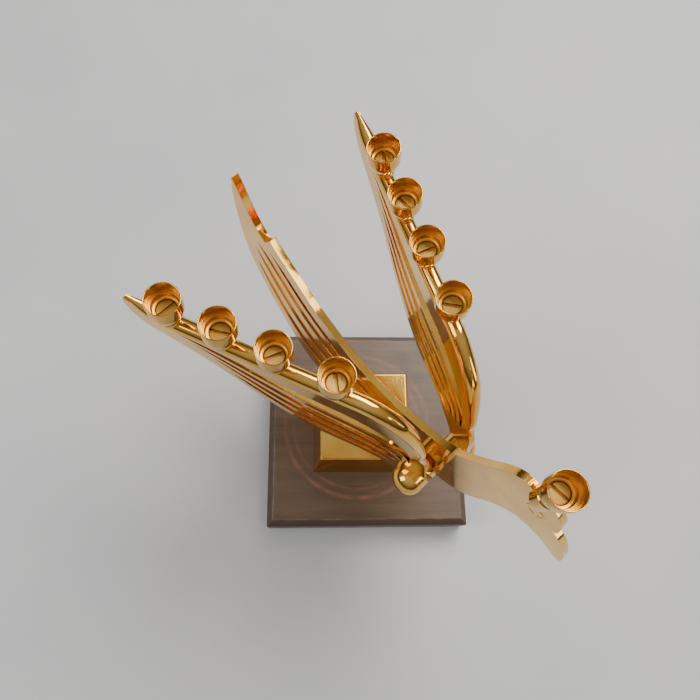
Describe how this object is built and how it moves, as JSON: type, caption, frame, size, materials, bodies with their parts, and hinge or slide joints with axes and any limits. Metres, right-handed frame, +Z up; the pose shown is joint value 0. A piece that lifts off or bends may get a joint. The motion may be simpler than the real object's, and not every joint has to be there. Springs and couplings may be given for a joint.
{
  "type": "menorah",
  "caption": "Brass candelabrum in the form of a bird with two slotted wings that carry rows of turned candle cups, standing on a tapered brass pedestal and a square dark wooden plinth.",
  "frame": {"origin": "centre of the square underside, on the surface the object stands on", "axes": "+Z up, X and Y along the sides of the plinth; the bird looks 47 degrees from +X towards -Y"},
  "size_m": [0.1536, 0.1651, 0.1675],
  "materials": {
    "felt": "matt wool felt",
    "wood": "dark stained, satin varnish",
    "brass_pedestal": "polished",
    "brass_plate": "mirror polished with fine rub marks",
    "brass_boss": "turned and polished",
    "brass_cup": "turned, bright rim, satin inside",
    "brass_screw": "dull, slightly tarnished",
    "steel_screw": "zinc plated"
  },
  "bodies": {
    "root": {"felt_pad": "felt", "plinth": "wood", "pedestal": "brass_pedestal", "bird_body": "brass_plate", "wing_left": "brass_plate", "wing_right": "brass_plate", "shoulder_left": "brass_boss", "shoulder_right": "brass_boss", "shoulder_pin_left": "steel_screw", "shoulder_pin_right": "steel_screw", "crown_collar": "brass_boss", "pedestal_screw_1": "steel_screw", "pedestal_screw_2": "steel_screw", "pedestal_washer_1": "steel_screw", "pedestal_washer_2": "steel_screw", "cup_left_1": "brass_cup", "cup_screw_left_1": "brass_screw", "cup_left_2": "brass_cup", "cup_screw_left_2": "brass_screw", "cup_left_3": "brass_cup", "cup_screw_left_3": "brass_screw", "cup_left_4": "brass_cup", "cup_screw_left_4": "brass_screw", "cup_right_1": "brass_cup", "cup_screw_right_1": "brass_screw", "cup_right_2": "brass_cup", "cup_screw_right_2": "brass_screw", "cup_right_3": "brass_cup", "cup_screw_right_3": "brass_screw", "cup_right_4": "brass_cup", "cup_screw_right_4": "brass_screw", "cup_shamash": "brass_cup", "cup_screw_shamash": "brass_screw"}
  },
  "joints": []
}
